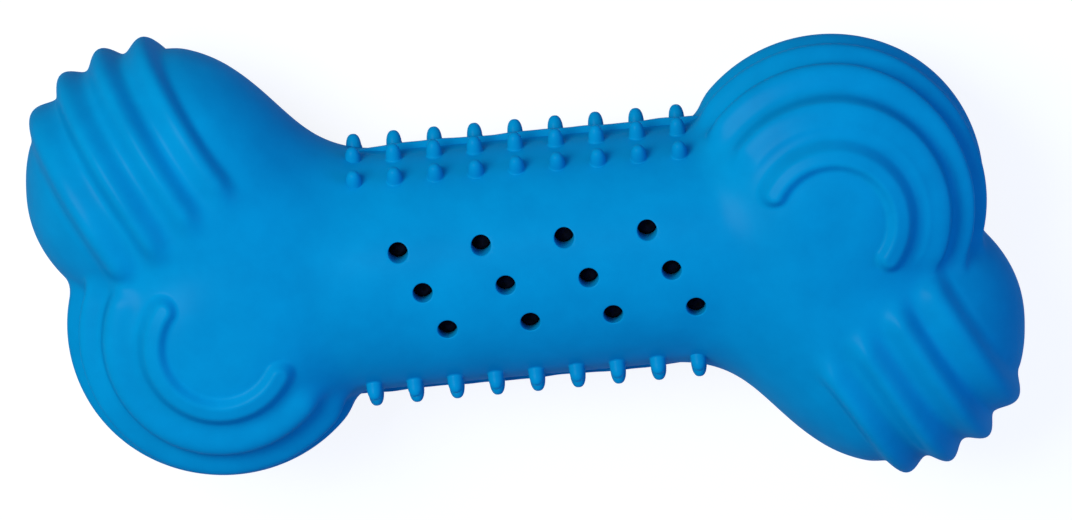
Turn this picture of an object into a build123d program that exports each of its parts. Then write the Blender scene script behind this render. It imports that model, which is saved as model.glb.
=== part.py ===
from build123d import *
import os
from math import acos, cos, radians, sin

# Hollow rubber chew bone, lying flat. Two moulded half shells meet at a level parting plane
# and hold a sponge core. Millimetres, +Z up, X along the bone. The bone is modelled round
# its parting plane at Z 0 and lifted at the end, so that its resting flats lie at Z 0.
# A half turn about Z leaves the bone as it is, and its two faces mirror each other, so one
# end of the upper half is modelled and the rest is turned and mirrored from it.

# Shaft: a round bar whose rounded ends are buried in the lobes
shaft_radius = 18.3
shaft_straight = 76.0
wall = 4.0

# Ridged lobes: balls beside the axis, a little flattened, with rings moulded round them
ridged_x = 55.2
ridged_y = 17.7
ridged_radius = 19.8
ridged_half_height = 18.6
ridge_count = 4
ridge_first = 8.4
ridge_pitch = 6.4
ridge_turn_degrees = 23.0
ridge_height = 1.3
ridge_round = 2.2
blend_radius = 12.0

# Ringed lobes: round-edged pucks with level rings, and one open rib on the flat
ringed_x = 47.4
ringed_y = 5.35
ringed_flat_radius = 4.1
ringed_half_height = 19.0
ring_tilts_degrees = (33.0, 52.0, 70.0)
ring_height = 1.1
ring_round = 1.9
rib_tilt_degrees = 14.7
rib_start_degrees = 136.0
rib_sweep_degrees = 204.0
rib_round = 1.5
rib_end_share = 0.8

# Nubs: blunt pegs in rows along both sides of the shaft
nub_count = 9
nub_pitch = 6.17
nub_rows_degrees = (59.0, 77.0)
nub_height = 2.5
nub_base_radius = 1.2
nub_tip_radius = 0.75

# Soaking holes: staggered rows through both broad faces of the shaft
hole_diameter = 3.0
hole_columns = 4
hole_pitch = 12.55
hole_row_gap = 6.25
hole_row_shift = 3.15

# Parting flash along the shaft, the sponge's clearance, and the height of the parting plane
# above the flats that the bone rests on
flash_height = 1.05
flash_thickness = 0.5
flash_length = 56.0
sponge_gap = 0.3
rest_height = 19.2


def half_turn(shape):
    """The same shape at the other end of the bone."""
    return Rot(0, 0, 180) * shape


def at_ridged_lobe(shape):
    """A shape moved to the ridged lobe, with its X axis across the ridges."""
    return Pos(-ridged_x, ridged_y, 0) * Rot(0, 0, ridge_turn_degrees) * shape


def at_ringed_lobe(shape):
    """A shape moved to the ringed lobe."""
    return Pos(-ringed_x, -ringed_y, 0) * shape


def half_bar(inset):
    """One end of the shaft's round bar above the parting plane, made smaller by an inset."""
    radius = shaft_radius - inset
    reach = shaft_straight / 2
    outline = Polyline((-reach - radius, 0), (0, 0), (0, radius), (-reach, radius))
    outline += CenterArc((-reach, 0), radius, 90, 90)
    return revolve(make_face(outline), Axis.X, 180)


def half_ball(inset):
    """The ridged lobe's smooth ball above the parting plane, flattened to its half height."""
    radius = ridged_radius - inset
    outline = CenterArc((0, 0), radius, 0, 180) + Line((-radius, 0), (radius, 0))
    ball = revolve(make_face(outline), Axis.X, 180)
    return at_ridged_lobe(scale(ball, (1, 1, (ridged_half_height - inset) / radius)))


def half_puck(inset):
    """The ringed lobe's smooth puck above the parting plane, with its rounded edge."""
    edge = ringed_half_height - inset
    rim = ringed_flat_radius + edge
    outline = Polyline((rim, 0), (0, 0), (0, edge), (ringed_flat_radius, edge))
    outline += CenterArc((ringed_flat_radius, 0), edge, 0, 90)
    return at_ringed_lobe(revolve(make_face(Plane.XZ * outline), Axis.Z))


def ridges():
    """The upper halves of the rings round a ridged lobe."""
    shapes = []
    reach = ridged_radius + ridge_height - ridge_round
    for index in range(ridge_count):
        tilt = acos((ridge_first - index * ridge_pitch) / ridged_radius)
        section = Pos(reach * cos(tilt), reach * sin(tilt)) * Circle(ridge_round)
        ring = revolve(section, Axis.X, 180)
        shapes.append(at_ridged_lobe(scale(ring, (1, 1, ridged_half_height / ridged_radius))))
    return shapes


def ring_section(tilt_degrees, round_radius):
    """A ring's round section, proud of the puck's edge at a tilt from upright."""
    tilt = radians(tilt_degrees)
    reach = ringed_half_height + ring_height - round_radius
    across = ringed_flat_radius + reach * sin(tilt)
    return Plane.XZ * Pos(across, reach * cos(tilt)) * Circle(round_radius)


def rings():
    """The level rings round a ringed lobe."""
    shapes = [revolve(ring_section(tilt, ring_round), Axis.Z) for tilt in ring_tilts_degrees]
    return [at_ringed_lobe(shape) for shape in shapes]


def rib():
    """The open rib round the ringed lobe's flat, with rounded ends."""
    bent = revolve(ring_section(rib_tilt_degrees, rib_round), Axis.Z, rib_sweep_degrees)
    ends = bent.faces().filter_by(GeomType.PLANE).edges()
    rounded = fillet(ends, rib_end_share * rib_round)
    return at_ringed_lobe(Rot(0, 0, rib_start_degrees) * rounded)


def blended_end():
    """One end of the bar with its ridged lobe's ball, and a large fillet where they meet."""
    bar = half_bar(0)
    ball = half_ball(0)
    joined = bar + ball
    meeting = [edge for edge in new_edges(bar, ball, combined=joined) if (edge @ 0.5).Z > 0]
    return fillet(meeting, blend_radius)


def nub():
    """One peg standing up along Z on the bar, with its foot inside the wall."""
    foot = shaft_radius - wall / 2
    tip = shaft_radius + nub_height - nub_tip_radius
    outline = Polyline((nub_tip_radius, tip), (nub_base_radius, shaft_radius), (nub_base_radius, foot),
                       (0, foot), (0, tip + nub_tip_radius))
    outline += CenterArc((0, tip), nub_tip_radius, 0, 90)
    return revolve(make_face(Plane.XZ * outline), Axis.Z)


def nubs():
    """The upper half's rows of pegs, leaning out to both sides of the shaft."""
    peg = nub()
    first = -nub_pitch * (nub_count - 1) / 2
    shapes = []
    for lean in nub_rows_degrees:
        for side in (1, -1):
            for index in range(nub_count):
                shapes.append(Pos(first + index * nub_pitch, 0, 0) * Rot(side * lean, 0, 0) * peg)
    return shapes


def flash():
    """The upper half of the thin flash that the mould leaves along the shaft."""
    width = 2 * (shaft_radius + flash_height)
    return extrude(Rectangle(flash_length, width), flash_thickness / 2)


def holes():
    """Upright drills for the soaking holes, each row shifted along from the one above it."""
    first = -hole_pitch * (hole_columns - 1) / 2
    drill = extrude(Circle(hole_diameter / 2), shaft_radius)
    shapes = []
    for row in (-1, 0, 1):
        for column in range(hole_columns):
            across = first + column * hole_pitch + (row + 1) * hole_row_shift
            shapes.append(Pos(across, -row * hole_row_gap, 0) * drill)
    return shapes


def core(inset):
    """The whole bone's smooth form, made smaller all over by an inset."""
    end = half_bar(inset) + half_ball(inset) + half_puck(inset)
    half = end + half_turn(end)
    return half + mirror(half, Plane.XY)


def upper_half():
    """The moulded half shell above the parting plane."""
    end = blended_end() + half_puck(0) + rings() + rib() + ridges()
    outside = end + half_turn(end) + flash() + nubs()
    return outside - core(wall) - holes()


def lower_half(upper):
    """The half shell below the parting plane, cut flat where its lobes rest."""
    under = Pos(0, 0, -rest_height) * Rectangle(4 * ridged_x, 4 * ridged_x)
    return mirror(upper, Plane.XY) - extrude(under, -rest_height)


upper = upper_half()
pieces = {
    "upper_shell": upper,
    "lower_shell": lower_half(upper),
    "sponge_core": core(wall + sponge_gap),
}
os.makedirs("parts", exist_ok=True)
for name, piece in pieces.items():
    lifted = Pos(0, 0, rest_height) * piece
    export_step(lifted, f"parts/{name}.step")
    box = lifted.bounding_box()
    print(name, len(lifted.solids()), "solid", round(lifted.volume), "mm3", box.size)
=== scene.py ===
# %% [markdown]
# # A rubber chew bone
# The bone is a hollow moulding of blue natural rubber. Two half shells meet at a level parting
# plane and hold a sponge, which the small holes in the shaft let water reach. This lesson loads
# the sized model as a fixed frame, then dresses it: first the view, then the shells with their
# rings, ridges and nubs, then the sponge, the finishes and the light.

# %% Load the frame
import random
from math import cos, pi, radians, sin

import bmesh
import bpy
import numpy as np
from mathutils import Matrix, Vector, kdtree


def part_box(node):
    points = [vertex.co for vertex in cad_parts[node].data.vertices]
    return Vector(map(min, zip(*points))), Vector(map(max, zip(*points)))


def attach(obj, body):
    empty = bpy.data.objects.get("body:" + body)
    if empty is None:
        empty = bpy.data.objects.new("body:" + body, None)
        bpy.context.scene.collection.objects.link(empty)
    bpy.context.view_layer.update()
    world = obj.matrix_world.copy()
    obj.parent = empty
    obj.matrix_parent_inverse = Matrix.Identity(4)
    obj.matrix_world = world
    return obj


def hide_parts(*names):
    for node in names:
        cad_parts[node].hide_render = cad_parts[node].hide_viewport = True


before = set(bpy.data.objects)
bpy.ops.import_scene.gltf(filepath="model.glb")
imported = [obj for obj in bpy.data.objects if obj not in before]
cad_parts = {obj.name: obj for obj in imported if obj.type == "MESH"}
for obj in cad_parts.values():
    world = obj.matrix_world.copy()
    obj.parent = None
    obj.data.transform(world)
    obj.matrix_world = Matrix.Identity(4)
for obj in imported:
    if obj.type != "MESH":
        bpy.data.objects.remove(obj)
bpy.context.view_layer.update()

mm = 0.001
parting_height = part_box("upper_shell")[0].z
print("parting plane at", round(parting_height / mm, 2), "mm above the floor")

# %% [markdown]
# ## The view
# The photograph looks down on the lying bone, a little from its far side, with the bone turned
# a few degrees in the picture. A camera could be aimed by eye, but here its three axes are
# worked out from those angles, so each angle can be corrected by itself. A long lens from
# 1.5 m gives the flat perspective of a product photograph.

# %% Directions of the view
view_tilt, view_yaw, view_roll = radians(13.6), radians(1.2), radians(5.5)
bone_centre = Vector((0, 0, parting_height))
to_camera = Vector((sin(view_yaw) * cos(view_tilt), sin(view_tilt), cos(view_yaw) * cos(view_tilt)))
across_bone = (Vector((0, 1, 0)) - to_camera * to_camera.y).normalized()
along_bone = across_bone.cross(to_camera)
picture_right = along_bone * cos(view_roll) - across_bone * sin(view_roll)
picture_up = along_bone * sin(view_roll) + across_bone * cos(view_roll)
print("the picture's right is", [round(part, 3) for part in picture_right])

# %% Camera
photo_width, photo_height = 1072, 520
photo_scale = 0.1523 * mm
bone_centre_pixel = (526.3, 255.0)
view_distance, film_width = 1500 * mm, 36
aim_right = (photo_width / 2 - bone_centre_pixel[0]) * photo_scale
aim_up = (bone_centre_pixel[1] - photo_height / 2) * photo_scale

camera_data = bpy.data.cameras.new("photo_camera")
camera_data.sensor_width = film_width
camera_data.lens = film_width * view_distance / (photo_width * photo_scale)
camera = bpy.data.objects.new("photo_camera", camera_data)
bpy.context.scene.collection.objects.link(camera)
turn = Matrix((picture_right, picture_up, to_camera)).transposed().to_4x4()
eye = bone_centre + to_camera * view_distance + picture_right * aim_right + picture_up * aim_up
camera.matrix_world = Matrix.Translation(eye) @ turn
bpy.context.scene.camera = camera
print("lens", round(camera_data.lens, 1), "mm")

# %% [markdown]
# ## The bone's form as a distance
# The lobes melt into the shaft without an edge, and rings and ridges run out into smooth
# rubber. That is hard to push and pull by hand. A distance function describes it in a few
# lines: for any point it says how far the rubber's surface is, and two forms are melted by a
# soft minimum of their distances. Meshes made with operators are then settled on that surface.
# All of this works round the parting plane, where the bone's two faces mirror each other.

# %% Melting and easing
shaft_melt, ringed_melt = 14.8 * mm, 2 * mm


def melt(a, b, reach):
    """The soft minimum of two distances, which rounds the corner between their forms."""
    overlap = np.clip(1 - np.abs(a - b) / reach, 0, None)
    return np.minimum(a, b) - reach / 4 * overlap ** 2


def ease(low, high, value):
    """A smooth step from 0 at low to 1 at high."""
    share = np.clip((value - low) / (high - low), 0, 1)
    return share * share * (3 - 2 * share)


print("a corner on the shaft is filled by", round(-melt(0, 0, shaft_melt) / mm, 2), "mm")

# %% [markdown]
# ## The shaft
# The dog grips the bone by its shaft, a plain round bar. A cylinder would give the middle. Its
# ends lie inside the lobes, though, and round ends leave no corner there that could show.

# %% Shaft
shaft_radius, shaft_straight = 18.3 * mm, 76 * mm


def shaft_distance(p):
    """Distance to the shaft, a round bar with round ends."""
    past_end = np.clip(np.abs(p[:, 0]) - shaft_straight / 2, 0, None)
    return np.sqrt(past_end ** 2 + p[:, 1] ** 2 + p[:, 2] ** 2) - shaft_radius


print("shaft", round(2 * shaft_radius / mm, 1), "mm thick")

# %% [markdown]
# ## Bands between grooves
# The mould leaves grooves in the lobes, and each band between two grooves bulges like a loaf.
# A round bead on the surface would look too thin. A band is a wave here: it rises softly from the
# floor of one groove to a crest and falls to the floor of the next. The crest need not be halfway,
# so one flank can be steeper than the other.

# %% Bands
def bands(place, grooves, floors, crests, heights):
    """Heights of wavy bands over a line, which has grooves with one crest between each two."""
    knots = np.empty(2 * len(crests) + 1)
    knots[0::2], knots[1::2] = grooves, crests
    phase = np.interp(place, knots, np.arange(len(knots)))
    rise = (1 - np.cos(pi * phase)) / 2
    low = np.array(floors)[((phase + 1) // 2).astype(int)]
    high = np.array(heights)[np.clip(phase // 2, 0, len(crests) - 1).astype(int)]
    return low + (high - low) * rise


print("one band in five steps", bands(np.linspace(0, 2, 5), (0, 2), (0, 0), (1,), (1,)).round(2))

# %% [markdown]
# ## Ringed lobes
# Two of the lobes are pucks with a fully rounded edge. Level rings run round that edge and fade
# out towards the shaft, and an open rib lies on the flat. Hoops could be bent and joined on, but
# they would lie on the rubber like wire. So a point's tilt from upright says which band it is on,
# and its turn round the lobe says how far the bands have run out. On one side the outer rings sit
# a few degrees higher up. Only the lobe at the +X end has a shallow crease in its innermost band.

# %% Sizes of the ringed lobes
ringed_x, ringed_y, ringed_flat, ringed_half = 47 * mm, 5.3 * mm, 3.5 * mm, 20 * mm
ring_grooves = np.radians((28, 50.5, 71, 90.5))
ring_floors = np.array((0, -0.3, -0.8, -0.5)) * mm
ring_crests = np.radians((39.5, 61, 79.5))
ring_heights = np.array((1.4, 1.35, 0.85)) * mm
ring_shift, most_shifted, shift_ends = radians(7), radians(10), radians(80)
ring_middle, ring_half_sweep, ring_run_out = radians(55), radians(80), radians(17)
crease, crease_half_width, crease_depth = radians(37), 1.6 * mm, 0.35 * mm
rib_circle, rib_half_width, rib_height = 10.2 * mm, 2.5 * mm, 1.5 * mm
rib_half_sweep, rib_flat_share = radians(94), 0.3
print("ringed lobes", round(2 * (ringed_flat + ringed_half) / mm, 1), "mm across without their rings")


# %% Ringed lobes
def ringed_distance(p, relief, creased):
    """Distance to the ringed lobe at the +X end, with or without its rings, open rib and crease."""
    x, y, z = p[:, 0] - ringed_x, p[:, 1] - ringed_y, np.abs(p[:, 2])
    from_axis = np.hypot(x, y)
    smooth = np.hypot(np.clip(from_axis - ringed_flat, 0, None), z) - ringed_half
    if not relief:
        return smooth
    tilt = np.arctan2(from_axis - ringed_flat, z)
    azimuth = np.arctan2(y, x)
    turned = np.abs((azimuth - ring_middle + pi) % (2 * pi) - pi)
    shifted = ring_shift * ease(shift_ends, most_shifted, azimuth) * ease(crease, ring_grooves[2], tilt)
    rings = bands(tilt + shifted, ring_grooves, ring_floors, ring_crests, ring_heights)
    if creased:
        off_crease = (tilt - crease) * ringed_half / crease_half_width
        rings -= crease_depth * np.clip(1 - off_crease ** 2, 0, None)
    rings *= ease(ring_half_sweep + ring_run_out, ring_half_sweep, turned) * (tilt > ring_grooves[0])
    past_end = np.clip(turned - rib_half_sweep, 0, None) * rib_circle
    off_rib = np.hypot(from_axis - rib_circle, past_end) / rib_half_width
    return smooth - rings - rib_height * ease(1, rib_flat_share, off_rib)


lobe_centre = np.array([[ringed_x, ringed_y, 0]])
print("depth at the lobe's centre", round(-ringed_distance(lobe_centre, False, False)[0] / mm, 2), "mm")

# %% [markdown]
# ## Ridged lobes
# The other two lobes are slightly flattened balls. Four round cords run over each of them, with
# flat valleys between. Cords could be swept along arcs, but then each would need its own blend. A
# cosine gives a cord that rises softly from its valley, and valleys and cords run out together
# where the lobe melts into the shaft. Towards the notch between the two lobes the ball is a little
# fuller.

# %% Sizes of the ridged lobes
ridged_x, ridged_y, ridged_radius = 54.4 * mm, 16.95 * mm, 20.3 * mm
ridged_flattening = 0.94
ridge_turn = radians(28)
ridge_places = np.array((-9.9, -3.5, 2.85, 8.9)) * mm
ridge_half_widths = np.array((3.5, 3.1, 3.1, 2.9)) * mm
ridge_height = 2.0 * mm
valley_first, valley_last, valley_edge, valley_depth = -14 * mm, 14 * mm, 3 * mm, 0.35 * mm
ridge_outward, ridge_start, ridge_run_out = (-0.59, 0.81), -7.8 * mm, 5 * mm
notch_side, dome_fullness = (-0.77, -0.64), 0.4 * mm
fuller_from, fullest_from = 0.7, 0.98
print("ridged lobes", round(2 * ridged_radius / mm, 1), "mm across without their ridges")


# %% Ridged lobes
def ridged_distance(p, relief):
    """Distance to the ridged lobe at the -X end, with or without its ridges."""
    x, y, z = p[:, 0] + ridged_x, p[:, 1] - ridged_y, p[:, 2] / ridged_flattening
    r = np.sqrt(x * x + y * y + z * z) + 1e-9
    slope = np.sqrt(x * x + y * y + (z / ridged_flattening) ** 2) / r
    towards_notch = (x * notch_side[0] + y * notch_side[1]) / r
    fuller = dome_fullness * ease(fuller_from, fullest_from, towards_notch)
    smooth = (r - ridged_radius) / slope - fuller
    if not relief:
        return smooth
    onto_surface = ridged_radius / r
    place = (x * cos(ridge_turn) + y * sin(ridge_turn)) * onto_surface
    outward = (x * ridge_outward[0] + y * ridge_outward[1]) * onto_surface - ridge_start
    ridges = -valley_depth * ease(valley_first, valley_first + valley_edge, place)
    ridges *= ease(valley_last, valley_last - valley_edge, place)
    for crest, half_width in zip(ridge_places, ridge_half_widths):
        off_crest = np.clip((place - crest) / half_width, -1, 1)
        ridges += ridge_height * (1 + np.cos(pi * off_crest)) / 2
    return smooth - ridges * ease(0, ridge_run_out, outward)


round_top = np.array([[-ridged_x, ridged_y, ridged_radius]])
print("the ball's top is flattened by", round(ridged_distance(round_top, False)[0] / mm, 2), "mm")

# %% [markdown]
# ## The whole bone
# Apart from the crease, each end is the other one turned round by half a turn. So every lobe is
# written once, and points are turned round to reach its twin. The smallest of all the distances
# would leave sharp corners where forms cross. Melting them one after another gives soft webs.

# %% The whole bone
def half_turned(p):
    """Points seen from the other end of the bone, which is the same by half a turn."""
    return p * np.array((-1, -1, 1))


def bone_distance(p, relief=True):
    """Distance to the bone's outer surface, below 0 inside the rubber."""
    body = shaft_distance(p)
    for end in (p, half_turned(p)):
        body = melt(body, ridged_distance(end, relief), shaft_melt)
    for end, creased in ((p, True), (half_turned(p), False)):
        body = melt(body, ringed_distance(end, relief, creased), ringed_melt)
    return body


print("depth at the bone's middle", round(-bone_distance(np.zeros((1, 3)))[0] / mm, 2), "mm")

# %% [markdown]
# ## Rough forms
# The rough bone is a bar and four stretched balls. Any mesh could be settled on the surface,
# but grooves come out clean only where rows of vertices run along them. So the balls on the
# ringed ends have their poles up, which lays their rows along the rings, and those on the
# ridged ends have their poles along the row of ridges. Of the rubber only the upper half is made,
# with a few millimetres below the parting plane to cut away later.

# %% Keeping and cutting a mesh
def mesh_object(name, bm):
    """Puts a finished bmesh into a new object at the origin."""
    mesh = bpy.data.meshes.new(name)
    bm.to_mesh(mesh)
    bm.free()
    piece = bpy.data.objects.new(name, mesh)
    bpy.context.scene.collection.objects.link(piece)
    return piece


def cut_below(bm, height):
    """Cuts a closed form off at a height and caps it."""
    everything = bm.verts[:] + bm.edges[:] + bm.faces[:]
    cut = bmesh.ops.bisect_plane(
        bm, geom=everything, plane_co=(0, 0, height), plane_no=(0, 0, 1), clear_inner=True)
    rim = [part for part in cut["geom_cut"] if isinstance(part, bmesh.types.BMEdge)]
    bmesh.ops.edgeloop_fill(bm, edges=rim)
    bmesh.ops.recalc_face_normals(bm, faces=bm.faces)


# %% Bar
small_step = 0.02 * mm


def bar(name, radius, straight, around, along, floor):
    """A round bar along X with round ends, cut off at a floor below the parting plane, if any."""
    bm = bmesh.new()
    bmesh.ops.create_uvsphere(bm, u_segments=around, v_segments=around // 4 * 2, radius=radius)
    bmesh.ops.rotate(bm, verts=bm.verts, cent=(0, 0, 0), matrix=Matrix.Rotation(pi / 2, 3, "Y"))
    for end in (1, -1):
        half = [vert for vert in bm.verts if vert.co.x * end > small_step]
        bmesh.ops.translate(bm, verts=half, vec=(end * straight / 2, 0, 0))
    long_edges = [edge for edge in bm.edges if edge.calc_length() > straight / 4]
    bmesh.ops.subdivide_edges(bm, edges=long_edges, cuts=along // 2 - 1, use_grid_fill=True)
    if floor is not None:
        cut_below(bm, floor)
    return mesh_object(name, bm)


# %% Ball
def ball(name, centre, half_sizes, pole_turn, around, along, floor):
    """A closed stretched ball, cut off at a floor below the parting plane, if there is one."""
    bm = bmesh.new()
    bmesh.ops.create_uvsphere(bm, u_segments=around, v_segments=along, radius=1)
    bmesh.ops.rotate(bm, verts=bm.verts, cent=(0, 0, 0), matrix=pole_turn)
    bmesh.ops.scale(bm, verts=bm.verts, vec=half_sizes)
    bmesh.ops.translate(bm, verts=bm.verts, vec=centre)
    if floor is not None:
        cut_below(bm, floor)
    return mesh_object(name, bm)


# %% [markdown]
# ## Joining the rough forms
# Forms are joined and cut with Boolean modifiers, as an editor would do by hand. The manifold
# solver is quick and keeps closed meshes closed. Faces that lie in one plane can still upset it,
# so each form is cut off at a slightly different floor.

# %% Joining and cutting
def applied(piece):
    """Turns a piece's modifiers into plain mesh."""
    depsgraph = bpy.context.evaluated_depsgraph_get()
    mesh = bpy.data.meshes.new_from_object(piece.evaluated_get(depsgraph))
    piece.modifiers.clear()
    old = piece.data
    piece.data = mesh
    bpy.data.meshes.remove(old)
    return piece


def combined(piece, steps):
    """Joins or cuts a piece with others, in order, and throws the others away."""
    for operation, other in steps:
        step = piece.modifiers.new(operation.lower(), "BOOLEAN")
        step.operation, step.solver, step.object = operation, "MANIFOLD", other
    applied(piece)
    for _, other in steps:
        old = other.data
        bpy.data.objects.remove(other)
        bpy.data.meshes.remove(old)
    return piece


# %% Rough bone
spare_depth, floor_stagger = 4 * mm, 0.05
poles_up = Matrix.Identity(3)
poles_along_ridges = Matrix.Rotation(ridge_turn, 3, "Z") @ Matrix.Rotation(pi / 2, 3, "Y")
bar_around, bar_along = 160, 104
ridged_around, ridged_along = 200, 210
ringed_around, ringed_along = 230, 260
shell_fineness = 0.93


def rough_bone(name, inset, fineness, cut=True):
    """The bar and the four balls joined, all of them smaller by an inset."""
    ridged = ridged_radius - inset
    ridged_up = ridged_radius * ridged_flattening - inset
    ringed_up = ringed_half - inset
    ringed = ringed_flat + ringed_up
    floors = [-spare_depth * (1 + step * floor_stagger) if cut else None for step in range(5)]
    whole = bar(name, shaft_radius - inset, shaft_straight, round(bar_around * fineness),
                round(bar_along * fineness), floors[0])
    parts = []
    for end in (1, -1):
        parts.append(ball(
            f"ridged_{end}", (-end * ridged_x, end * ridged_y, 0), (ridged, ridged, ridged_up),
            poles_along_ridges, round(ridged_around * fineness), round(ridged_along * fineness),
            floors[2 + end]))
        parts.append(ball(
            f"ringed_{end}", (end * ringed_x, end * ringed_y, 0), (ringed, ringed, ringed_up),
            poles_up, round(ringed_around * fineness), round(ringed_along * fineness),
            floors[3 + end]))
    return combined(whole, [("UNION", part) for part in parts])


upper_shell = rough_bone("upper_shell_rubber", 0, shell_fineness)
print("rough bone", len(upper_shell.data.vertices), "vertices")

# %% [markdown]
# ## Settling the mesh on the form
# A shrinkwrap would pull the mesh onto another mesh, which we don't have. Each vertex moves
# along the normal of the smooth form instead, by most of the distance that is left, many times
# over. It keeps its place along the surface that way, so the rows stay on the grooves. The spare
# depth below the parting plane is left as it is.

# %% Reading and moving vertices
def mesh_points(piece):
    """A mesh's vertices as rows of X, Y and Z."""
    points = np.empty(3 * len(piece.data.vertices))
    piece.data.vertices.foreach_get("co", points)
    return points.reshape(-1, 3)


def set_mesh_points(piece, points):
    """Moves a mesh's vertices to new places."""
    piece.data.vertices.foreach_set("co", points.ravel())
    piece.data.update()


# %% Settle
settle_rounds, settle_share = 14, 0.9
still_below, free_above = -0.6 * spare_depth, -0.3 * spare_depth


def settle(points):
    """Moves points along the smooth form's normals until they lie on the bone's surface."""
    normals = np.empty_like(points)
    for axis in range(3):
        offset = np.zeros(3)
        offset[axis] = small_step
        normals[:, axis] = bone_distance(points + offset, False) - bone_distance(points - offset, False)
    normals /= np.linalg.norm(normals, axis=1, keepdims=True) + 1e-12
    share = settle_share * ease(still_below, free_above, points[:, 2])
    for _ in range(settle_rounds):
        points = points - (share * bone_distance(points))[:, None] * normals
    return points


settled = settle(mesh_points(upper_shell))
set_mesh_points(upper_shell, settled)
left = np.abs(bone_distance(settled))[settled[:, 2] > 0]
print("left to settle", round(left.max() / mm, 4), "mm at most")

# %% [markdown]
# ## Nubs
# Blunt rubber pegs stand in rows along both sides of the shaft, for the dog's gums. A cone with
# a ball on top would do, but looks thin. One spun outline gives the full bullet shape and the
# small flare at its foot in one mesh.

# %% Spinning an outline
merge_distance = 0.001 * mm


def quarter(steps):
    """Angles that divide a quarter turn."""
    return [pi / 2 * step / steps for step in range(steps + 1)]


def spun(bm, outline, steps):
    """Spins an outline of (radius, height) points, closed at the axis, and returns its vertices."""
    before = set(bm.verts)
    verts = [bm.verts.new((radius, 0, height)) for radius, height in outline]
    edges = [bm.edges.new(pair) for pair in zip(verts, verts[1:])]
    bmesh.ops.spin(bm, geom=verts + edges, cent=(0, 0, 0), axis=(0, 0, 1), angle=2 * pi,
                   steps=steps, use_merge=True)
    made = [vert for vert in bm.verts if vert not in before]
    bmesh.ops.remove_doubles(bm, verts=made, dist=merge_distance)
    return [vert for vert in made if vert.is_valid]


# %% Outline of a nub
nub_height, nub_base, nub_flare, nub_root = 2.5 * mm, 1.2 * mm, 0.2 * mm, 1 * mm
nub_bluntness, foot_steps, tip_steps = 2.5, 3, 8
foot = [(nub_base + nub_flare * (1 - sin(angle)), shaft_radius + nub_flare * (1 - cos(angle)))
        for angle in quarter(foot_steps)]
blunt = 2 / nub_bluntness
tip = [(nub_base * max(cos(angle), 0) ** blunt, shaft_radius + nub_height * sin(angle) ** blunt)
       for angle in quarter(tip_steps)[1:]]
root = shaft_radius - nub_root
peg_outline = [(0, root), (nub_base + nub_flare, root)] + foot + tip
print("outline of a nub", len(peg_outline), "points")

# %% Nubs
nub_count, nub_pitch, nub_sides = 9, 6.17 * mm, 20
nub_leans = (radians(59), radians(77))
nubs = bmesh.new()
first_nub = -nub_pitch * (nub_count - 1) / 2
for lean in nub_leans:
    for side in (1, -1):
        for number in range(nub_count):
            peg = spun(nubs, peg_outline, nub_sides)
            leaning = Matrix.Rotation(-side * lean, 3, "X")
            bmesh.ops.rotate(nubs, verts=peg, cent=(0, 0, 0), matrix=leaning)
            bmesh.ops.translate(nubs, verts=peg, vec=(first_nub + number * nub_pitch, 0, 0))
bmesh.ops.recalc_face_normals(nubs, faces=nubs.faces)
print("nubs", len(nubs.faces), "faces")
nubs = mesh_object("nubs", nubs)

# %% [markdown]
# ## Flash
# Where the two halves of the mould met, a thin lip of rubber was squeezed out along the shaft and
# trimmed by hand. A straight strip would look like a designed rim. So a flat box is cut into short
# lengths, and three small waves move its edges in and out.

# %% Flash
flash_height, flash_thickness, flash_length = 1.05 * mm, 0.5 * mm, 56 * mm
flash_steps, trimmed_share, regrown_share = 112, 0.4, 0.5
flash_waves = ((0.07, 3.1 * mm, 0), (0.04, 1.7 * mm, 1), (0.03, 0.9 * mm, 2))


def flash_reach(x):
    """How far the lip stands out along the shaft: uneven, and trimmed low at one end."""
    waves = sum(share * sin(x / length + phase) for share, length, phase in flash_waves)
    regrown = regrown_share * ease(-flash_length / 2, -flash_length / 4, x)
    return flash_height * (trimmed_share + regrown + waves)


lip = bmesh.new()
bmesh.ops.create_cube(lip, size=1)
bmesh.ops.scale(lip, verts=lip.verts, vec=(flash_length, 2 * shaft_radius, flash_thickness))
along_lip = [edge for edge in lip.edges if abs(edge.verts[0].co.x - edge.verts[1].co.x) > mm]
bmesh.ops.subdivide_edges(lip, edges=along_lip, cuts=flash_steps - 1, use_grid_fill=True)
for vert in lip.verts:
    side = 1 if vert.co.y > 0 else -1
    vert.co.y = side * (shaft_radius + flash_reach(side * vert.co.x))
lip = mesh_object("flash", lip)
upper_shell = combined(upper_shell, [("UNION", nubs), ("UNION", lip)])
print("with nubs and flash", len(upper_shell.data.vertices), "vertices")

# %% [markdown]
# ## Soaking holes
# Twelve pins in the mould left holes through each broad face. A plain cylinder would cut a knife
# edge, and the real rims are a little rounded. So each cutter is a spun pin whose mouth flares
# like a trumpet, bent to follow the round of the shaft.

# %% Hole cutters
wall = 4 * mm
hole_radius, hole_rim, hole_columns = 1.5 * mm, 0.2 * mm, 4
hole_pitch, hole_row_gap, hole_row_shift = 12.55 * mm, 6.25 * mm, 3.15 * mm
pin_head, pin_top, pin_depth = hole_radius + hole_rim, 1 * mm, 2 * wall
pin_sides, flare_steps = 40, 4
flare = [(pin_head - hole_rim * sin(angle), -hole_rim * (1 - cos(angle))) for angle in quarter(flare_steps)]
pin_outline = [(0, pin_top), (pin_head, pin_top)] + flare + [(hole_radius, -pin_depth), (0, -pin_depth)]

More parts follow.
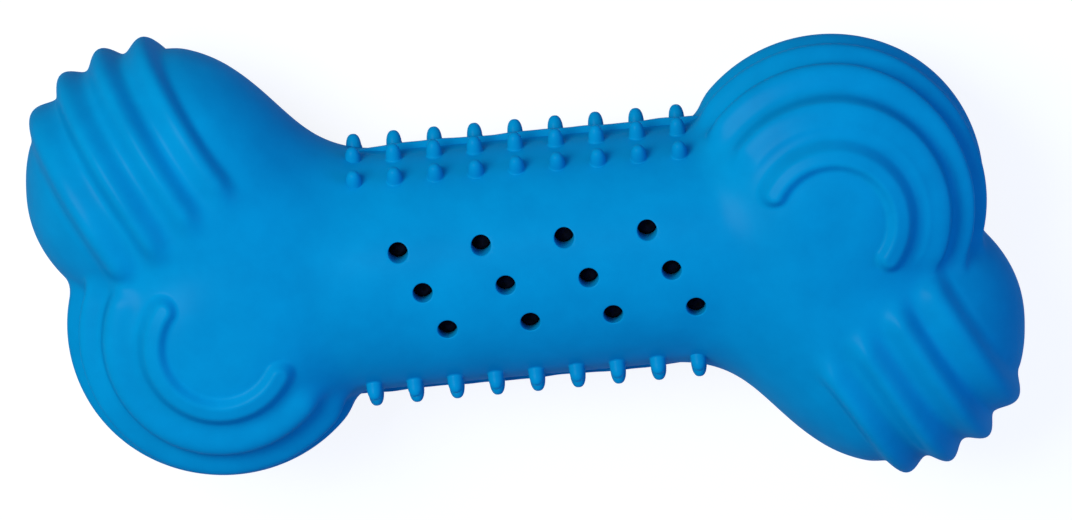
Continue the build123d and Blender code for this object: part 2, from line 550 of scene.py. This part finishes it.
pins = bmesh.new()
first_hole = -hole_pitch * (hole_columns - 1) / 2
hole_places = [(first_hole + column * hole_pitch + (row + 1) * hole_row_shift, -row * hole_row_gap)
               for row in (-1, 0, 1) for column in range(hole_columns)]
for x, y in hole_places:
    one_pin = spun(pins, pin_outline, pin_sides)
    bmesh.ops.translate(pins, verts=one_pin, vec=(x, y, 0))
    for vert in one_pin:
        vert.co.z += (shaft_radius ** 2 - vert.co.y ** 2) ** 0.5
bmesh.ops.recalc_face_normals(pins, faces=pins.faces)
print("hole cutters", len(pins.faces), "faces")
pins = mesh_object("hole_cutters", pins)

# %% [markdown]
# ## Hollow and parting plane
# A core in the mould keeps the bone hollow, with a wall of about 4 mm. A solidify modifier would
# give the wall too, but its inside would copy every groove, and a core is smooth. So a smaller
# rough bone is cut out, and a block takes away what lies below the parting plane. The block's top
# is cut into small squares, because one large face with a hole in it would leave a rim that can't
# be filled cleanly.

# %% Hollow and parting plane
hollow_fineness, block_cuts = 0.3, 70
block_size = (3 * ridged_x, 6 * ridged_y, 3 * spare_depth)
hollow = rough_bone("hollow", wall, hollow_fineness)
block = bmesh.new()
bmesh.ops.create_cube(block, size=1)
bmesh.ops.scale(block, verts=block.verts, vec=block_size)
bmesh.ops.translate(block, verts=block.verts, vec=(0, 0, -block_size[2] / 2))
level_edges = [edge for edge in block.edges if edge.verts[0].co.z == edge.verts[1].co.z]
bmesh.ops.subdivide_edges(block, edges=level_edges, cuts=block_cuts, use_grid_fill=True)
block = mesh_object("block_below", block)
upper_shell = combined(upper_shell, [("DIFFERENCE", hollow), ("DIFFERENCE", pins), ("DIFFERENCE", block)])
print("upper shell", len(upper_shell.data.vertices), "vertices")

# %% [markdown]
# ## The two half shells
# The lower half is the mirror image of the upper one, as the two halves of the mould are. It is
# copied and turned over, and what would stand below the floor is pressed flat: soft rubber
# spreads a little where the bone lies on it. Edges sharper than a set angle stay crisp.

# %% Shells
sharp_angle = radians(50)


def finish_shell(piece, turned_over):
    """Turns the lower half over, lifts a half to its place and sets which edges stay crisp."""
    bm = bmesh.new()
    bm.from_mesh(piece.data)
    if turned_over:
        bmesh.ops.scale(bm, verts=bm.verts, vec=(1, 1, -1))
        bmesh.ops.reverse_faces(bm, faces=bm.faces)
    bmesh.ops.translate(bm, verts=bm.verts, vec=bone_centre)
    for vert in bm.verts:
        vert.co.z = max(vert.co.z, 0)
    for face in bm.faces:
        face.smooth = True
    for edge in bm.edges:
        edge.smooth = edge.calc_face_angle(0) < sharp_angle
    print(piece.name, sum(not edge.is_manifold for edge in bm.edges), "open edges")
    bm.to_mesh(piece.data)
    bm.free()


lower_shell = bpy.data.objects.new("lower_shell_rubber", upper_shell.data.copy())
bpy.context.scene.collection.objects.link(lower_shell)
finish_shell(upper_shell, False)
finish_shell(lower_shell, True)
for piece, node in ((upper_shell, "upper_shell"), (lower_shell, "lower_shell")):
    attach(piece, "root")
    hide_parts(node)
    piece.data.calc_loop_triangles()
    print(piece.name, len(piece.data.loop_triangles), "triangles")

# %% [markdown]
# ## The sponge
# The core is a block of open-cell foam that fills the hollow and soaks up water. Only specks of
# it show through the holes, where plugs of it stand a little way in as painted shade. A plain block
# with a speckled colour would look painted, so it is remeshed into an even skin, and random pores
# are pressed into that skin. Foam in a closed hollow doesn't drape, so it needs no cloth simulation.

# %% Sponge
sponge_gap, sponge_fineness, skin_step = 0.3 * mm, 0.3, 0.8 * mm
sponge = rough_bone("sponge_foam", wall + sponge_gap, sponge_fineness, cut=False)
remesh = sponge.modifiers.new("skin", "REMESH")
remesh.mode, remesh.voxel_size = "VOXEL", skin_step
applied(sponge)
print("sponge's skin", len(sponge.data.vertices), "vertices")

# %% Pores
pore_count, pore_smallest, pore_largest, pore_seed = 3000, 0.8 * mm, 1.7 * mm, 5
skin = mesh_points(sponge)
inward = -np.array([vert.normal for vert in sponge.data.vertices])
dice = random.Random(pore_seed)
pores = kdtree.KDTree(pore_count)
pore_sizes = []
for number in range(pore_count):
    pores.insert(dice.choice(skin), number)
    pore_sizes.append(dice.uniform(pore_smallest, pore_largest))
pores.balance()
depths = np.zeros(len(skin))
for number, point in enumerate(skin):
    _, pore, gap = pores.find(point)
    depths[number] = pore_sizes[pore] * max(0, 1 - (gap / pore_sizes[pore]) ** 2)
set_mesh_points(sponge, skin + inward * depths[:, None])
print("pores to", round(depths.max() / mm, 2), "mm deep")

# %% [markdown]
# ## Plugs in the holes
# Below each hole a short round plug of the near-black foam stands up into it and paints its shade.
# Pulling skin vertices up into the hole would stretch them into spikes, so spun plugs are joined
# on, and mirrored for the lower face.

# %% Plugs in the holes
plug_radius, plug_below, plug_dome, plug_foot = 1.4 * mm, 2.8 * mm, 1 * mm, 3 * wall
plug_sides, dome_steps = 20, 5
plug_outline = [(0, -plug_foot), (plug_radius, -plug_foot)]
plug_outline += [(plug_radius * cos(angle), -plug_below - (1 - sin(angle)) * plug_dome)
                 for angle in quarter(dome_steps)]
# Painted shade: these plugs of near-black foam stand up into the holes and darken them.
shade_plugs = bmesh.new()
for x, y in hole_places:
    upper_shade_plug = spun(shade_plugs, plug_outline, plug_sides)
    bmesh.ops.translate(shade_plugs, verts=upper_shade_plug, vec=(x, y, (shaft_radius ** 2 - y ** 2) ** 0.5))
bmesh.ops.mirror(shade_plugs, geom=shade_plugs.verts[:] + shade_plugs.edges[:] + shade_plugs.faces[:], axis="Z", merge_dist=-1)
bmesh.ops.recalc_face_normals(shade_plugs, faces=shade_plugs.faces)
sponge = combined(sponge, [("UNION", mesh_object("shade_plugs", shade_plugs))])
sponge.data.transform(Matrix.Translation(bone_centre))
sponge.data.shade_smooth()
sponge.data.calc_loop_triangles()
print("sponge", len(sponge.data.loop_triangles), "triangles")
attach(sponge, "root")
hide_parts("sponge_core")

# %% [markdown]
# ## Helpers for finishes
# A finish is a small network of nodes. Colours are written as they look on a screen, in hex, but
# shaders take linear light, so one function converts them. Another adds a node together with its
# settings, values and links, which keeps each finish short enough to read at a glance.

# %% Helpers for finishes
def to_linear(code):
    """A colour written as sRGB hex, turned to the linear values that shaders take."""
    parts = [int(code[start:start + 2], 16) / 255 for start in (1, 3, 5)]
    return [part / 12.92 if part <= 0.04045 else ((part + 0.055) / 1.055) ** 2.4 for part in parts] + [1]


def empty_finish(name):
    """A new material without any nodes."""
    finish = bpy.data.materials.new(name)
    finish.use_nodes = True
    finish.node_tree.nodes.clear()
    return finish


def add_node(tree, kind, settings=(), inputs=(), links=()):
    """Adds one node with its settings, input values and links from other nodes' sockets."""
    node = tree.nodes.new(kind)
    for name, value in dict(settings).items():
        setattr(node, name, value)
    for name, value in dict(inputs).items():
        node.inputs[name].default_value = value
    for name, socket in dict(links).items():
        tree.links.new(socket, node.inputs[name])
    return node


print("#808080 is", round(to_linear("#808080")[0], 3), "in linear light")

# %% [markdown]
# ## Moulded natural rubber
# Natural rubber comes out of a blasted steel mould with a dull, even skin. Its pigment is milled
# in, so the blue goes all the way through, with faint clouds where it mixed unevenly. Wax sweats
# out in patches, called bloom, and dulls the skin there. One flat blue would look like painted
# plastic, so three noises give the clouds, the bloom and the grain of the mould.

# %% Moulded natural rubber
# The eye gets a strong even blue, soft streaks of light on the crests and no mirror images. Bare
# rubber has an IOR of about 1.5 and mirrors 4 % of the light. That would draw the white floor as a
# pale rim round every form, so most of it is taken away, and a weak, soft coat carries the streaks.
# The mould's grain of about 0.1 mm is too fine to show, so it is drawn at 0.7 mm.
cloud_size, bloom_size, grain_size, grain_depth = 9 * mm, 7 * mm, 0.7 * mm, 0.06 * mm
rubber = empty_finish("moulded_natural_rubber")
tree = rubber.node_tree
place = add_node(tree, "ShaderNodeTexCoord").outputs["Object"]
cloud = add_node(tree, "ShaderNodeTexNoise", inputs={"Scale": 1 / cloud_size, "Detail": 4, "Roughness": 0.6},
                 links={"Vector": place})
blues = add_node(tree, "ShaderNodeValToRGB", links={"Fac": cloud.outputs["Fac"]})
for stop, code, position in zip(blues.color_ramp.elements, ("#008BC7", "#0095D1"), (0.3, 0.7)):
    stop.color, stop.position = to_linear(code), position
bloom = add_node(tree, "ShaderNodeTexNoise", inputs={"Scale": 1 / bloom_size, "Detail": 2},
                 links={"Vector": place})
dullness = add_node(tree, "ShaderNodeMapRange", inputs={"To Min": 0.9, "To Max": 0.7},
                    links={"Value": bloom.outputs["Fac"]})
grain = add_node(tree, "ShaderNodeTexNoise", inputs={"Scale": 1 / grain_size, "Detail": 2},
                 links={"Vector": place})
blasted = add_node(tree, "ShaderNodeBump", inputs={"Strength": 0.12, "Distance": grain_depth},
                   links={"Height": grain.outputs["Fac"]})
shader = add_node(
    tree, "ShaderNodeBsdfPrincipled",
    inputs={"Specular IOR Level": 0.02, "Coat Weight": 0.045, "Coat Roughness": 0.3},
    links={"Base Color": blues.outputs["Color"], "Roughness": dullness.outputs["Result"],
           "Normal": blasted.outputs["Normal"]})
add_node(tree, "ShaderNodeOutputMaterial", links={"Surface": shader.outputs["BSDF"]})
for piece in (upper_shell, lower_shell):
    piece.data.materials.clear()
    piece.data.materials.append(rubber)
print("rubber of", len(tree.nodes), "nodes on", upper_shell.name, "and", lower_shell.name)

# %% [markdown]
# ## Open-cell foam
# The sponge is a polyurethane foam, blown full of gas until its cells burst open. It is near black,
# which also paints the shade deep in the holes where it shows. A plain black would lose the cells,
# so a Voronoi pattern gives each of them a painted shade in its pit and a slightly paler wall.

# %% Open-cell foam
# The eye gets a dull, almost black speck at the bottom of each hole, with no shine at all; the
# near-black tones paint the shade in the holes and in the pits of the cells.
cell_size, cell_depth = 0.9 * mm, 0.3 * mm
foam = empty_finish("open_cell_foam")
tree = foam.node_tree
place = add_node(tree, "ShaderNodeTexCoord").outputs["Object"]
cells = add_node(tree, "ShaderNodeTexVoronoi", inputs={"Scale": 1 / cell_size}, links={"Vector": place})
# Painted shade: the darker tone lies in each cell's pit, and both tones are near black to paint the shade
# deep in the holes.
pit_shade_and_foam_tones = add_node(tree, "ShaderNodeValToRGB", links={"Fac": cells.outputs["Distance"]})
for stop, code, position in zip(pit_shade_and_foam_tones.color_ramp.elements, ("#04050A", "#0E1020"), (0.2, 0.7)):
    stop.color, stop.position = to_linear(code), position
pitted = add_node(tree, "ShaderNodeBump", inputs={"Strength": 0.8, "Distance": cell_depth},
                  links={"Height": cells.outputs["Distance"]})
shader = add_node(tree, "ShaderNodeBsdfPrincipled", inputs={"Roughness": 0.95, "Specular IOR Level": 0.1},
                  links={"Base Color": pit_shade_and_foam_tones.outputs["Color"], "Normal": pitted.outputs["Normal"]})
add_node(tree, "ShaderNodeOutputMaterial", links={"Surface": shader.outputs["BSDF"]})
sponge.data.materials.clear()
sponge.data.materials.append(foam)
print("foam of", len(tree.nodes), "nodes on", sponge.name)

# %% [markdown]
# ## White floor
# The photograph's background is plain white. More light would bleach the bone too, so the white
# comes from the paper itself: it glows, but only for rays that look straight at it, or see it in a
# mirror or through glass. To all other light it is a mid grey, slightly blue, so that it keeps the
# bone's shadow and throws little light up at the rubber.

# %% Floor
floor_size = 3.0
floor = bmesh.new()
bmesh.ops.create_grid(floor, x_segments=1, y_segments=1, size=floor_size / 2)
floor = mesh_object("floor", floor)
print("floor", floor_size, "m wide")

# %% White paper
# The eye gets matt paper that is nearly white, with a faint shadow round the bone.
paper = empty_finish("white_paper")
tree = paper.node_tree
matte = add_node(tree, "ShaderNodeBsdfDiffuse", inputs={"Color": to_linear("#787D8A")})
glow = add_node(tree, "ShaderNodeEmission", inputs={"Color": to_linear("#FFFFFF"), "Strength": 0.88})
both = add_node(tree, "ShaderNodeAddShader", links={0: matte.outputs[0], 1: glow.outputs[0]})
path = add_node(tree, "ShaderNodeLightPath")
direct = add_node(tree, "ShaderNodeMath", {"operation": "ADD"},
                  links={0: path.outputs["Is Camera Ray"], 1: path.outputs["Is Glossy Ray"]})
looked_at = add_node(tree, "ShaderNodeMath", {"operation": "ADD", "use_clamp": True},
                     links={0: direct.outputs[0], 1: path.outputs["Is Transmission Ray"]})
seen = add_node(tree, "ShaderNodeMixShader",
                links={"Fac": looked_at.outputs[0], 1: matte.outputs[0], 2: both.outputs[0]})
add_node(tree, "ShaderNodeOutputMaterial", links={"Surface": seen.outputs[0]})
floor.data.materials.append(paper)
print("paper of", len(tree.nodes), "nodes on", floor.name)

# %% [markdown]
# ## Studio light
# Soft light came from the left of the camera, with a weak cool fill from the right and pale blue
# light from all round. A single sun would draw hard shadows beside the nubs. Two square lamps
# work like softboxes, and their directions are given as they appear in the picture, so the light
# can be set while looking at the photograph.

# %% Light from all round
world = bpy.data.worlds.new("studio")
world.use_nodes = True
background = world.node_tree.nodes["Background"]
background.inputs["Color"].default_value = to_linear("#8CC4FF")
background.inputs["Strength"].default_value = 0.5
bpy.context.scene.world = world
print("light from all round at", background.inputs["Strength"].default_value)

# %% Softboxes
lamp_distance, lamp_size = 0.8, 0.4


def softbox(name, direction, power, tone):
    """A square lamp that faces the bone from a direction given in the picture's axes."""
    right, up, forward = direction
    towards = (picture_right * right + picture_up * up + to_camera * forward).normalized()
    data = bpy.data.lights.new(name, "AREA")
    data.size = lamp_size
    data.energy = power
    data.color = to_linear(tone)[:3]
    lamp = bpy.data.objects.new(name, data)
    bpy.context.scene.collection.objects.link(lamp)
    lamp.matrix_world = (Matrix.Translation(bone_centre + towards * lamp_distance)
                         @ towards.to_track_quat("Z", "Y").to_matrix().to_4x4())
    print(name, power, "W")


softbox("key_softbox", (-0.48, 0.08, 0.87), 4.9, "#FFFFE6")
softbox("fill_softbox", (0.86, 0, 0.5), 1.0, "#8CC4FF")

# %% [markdown]
# Colours are shown with the standard view transform, so a colour renders about as it is written.

# %% View transform
bpy.context.scene.view_settings.view_transform = "Standard"
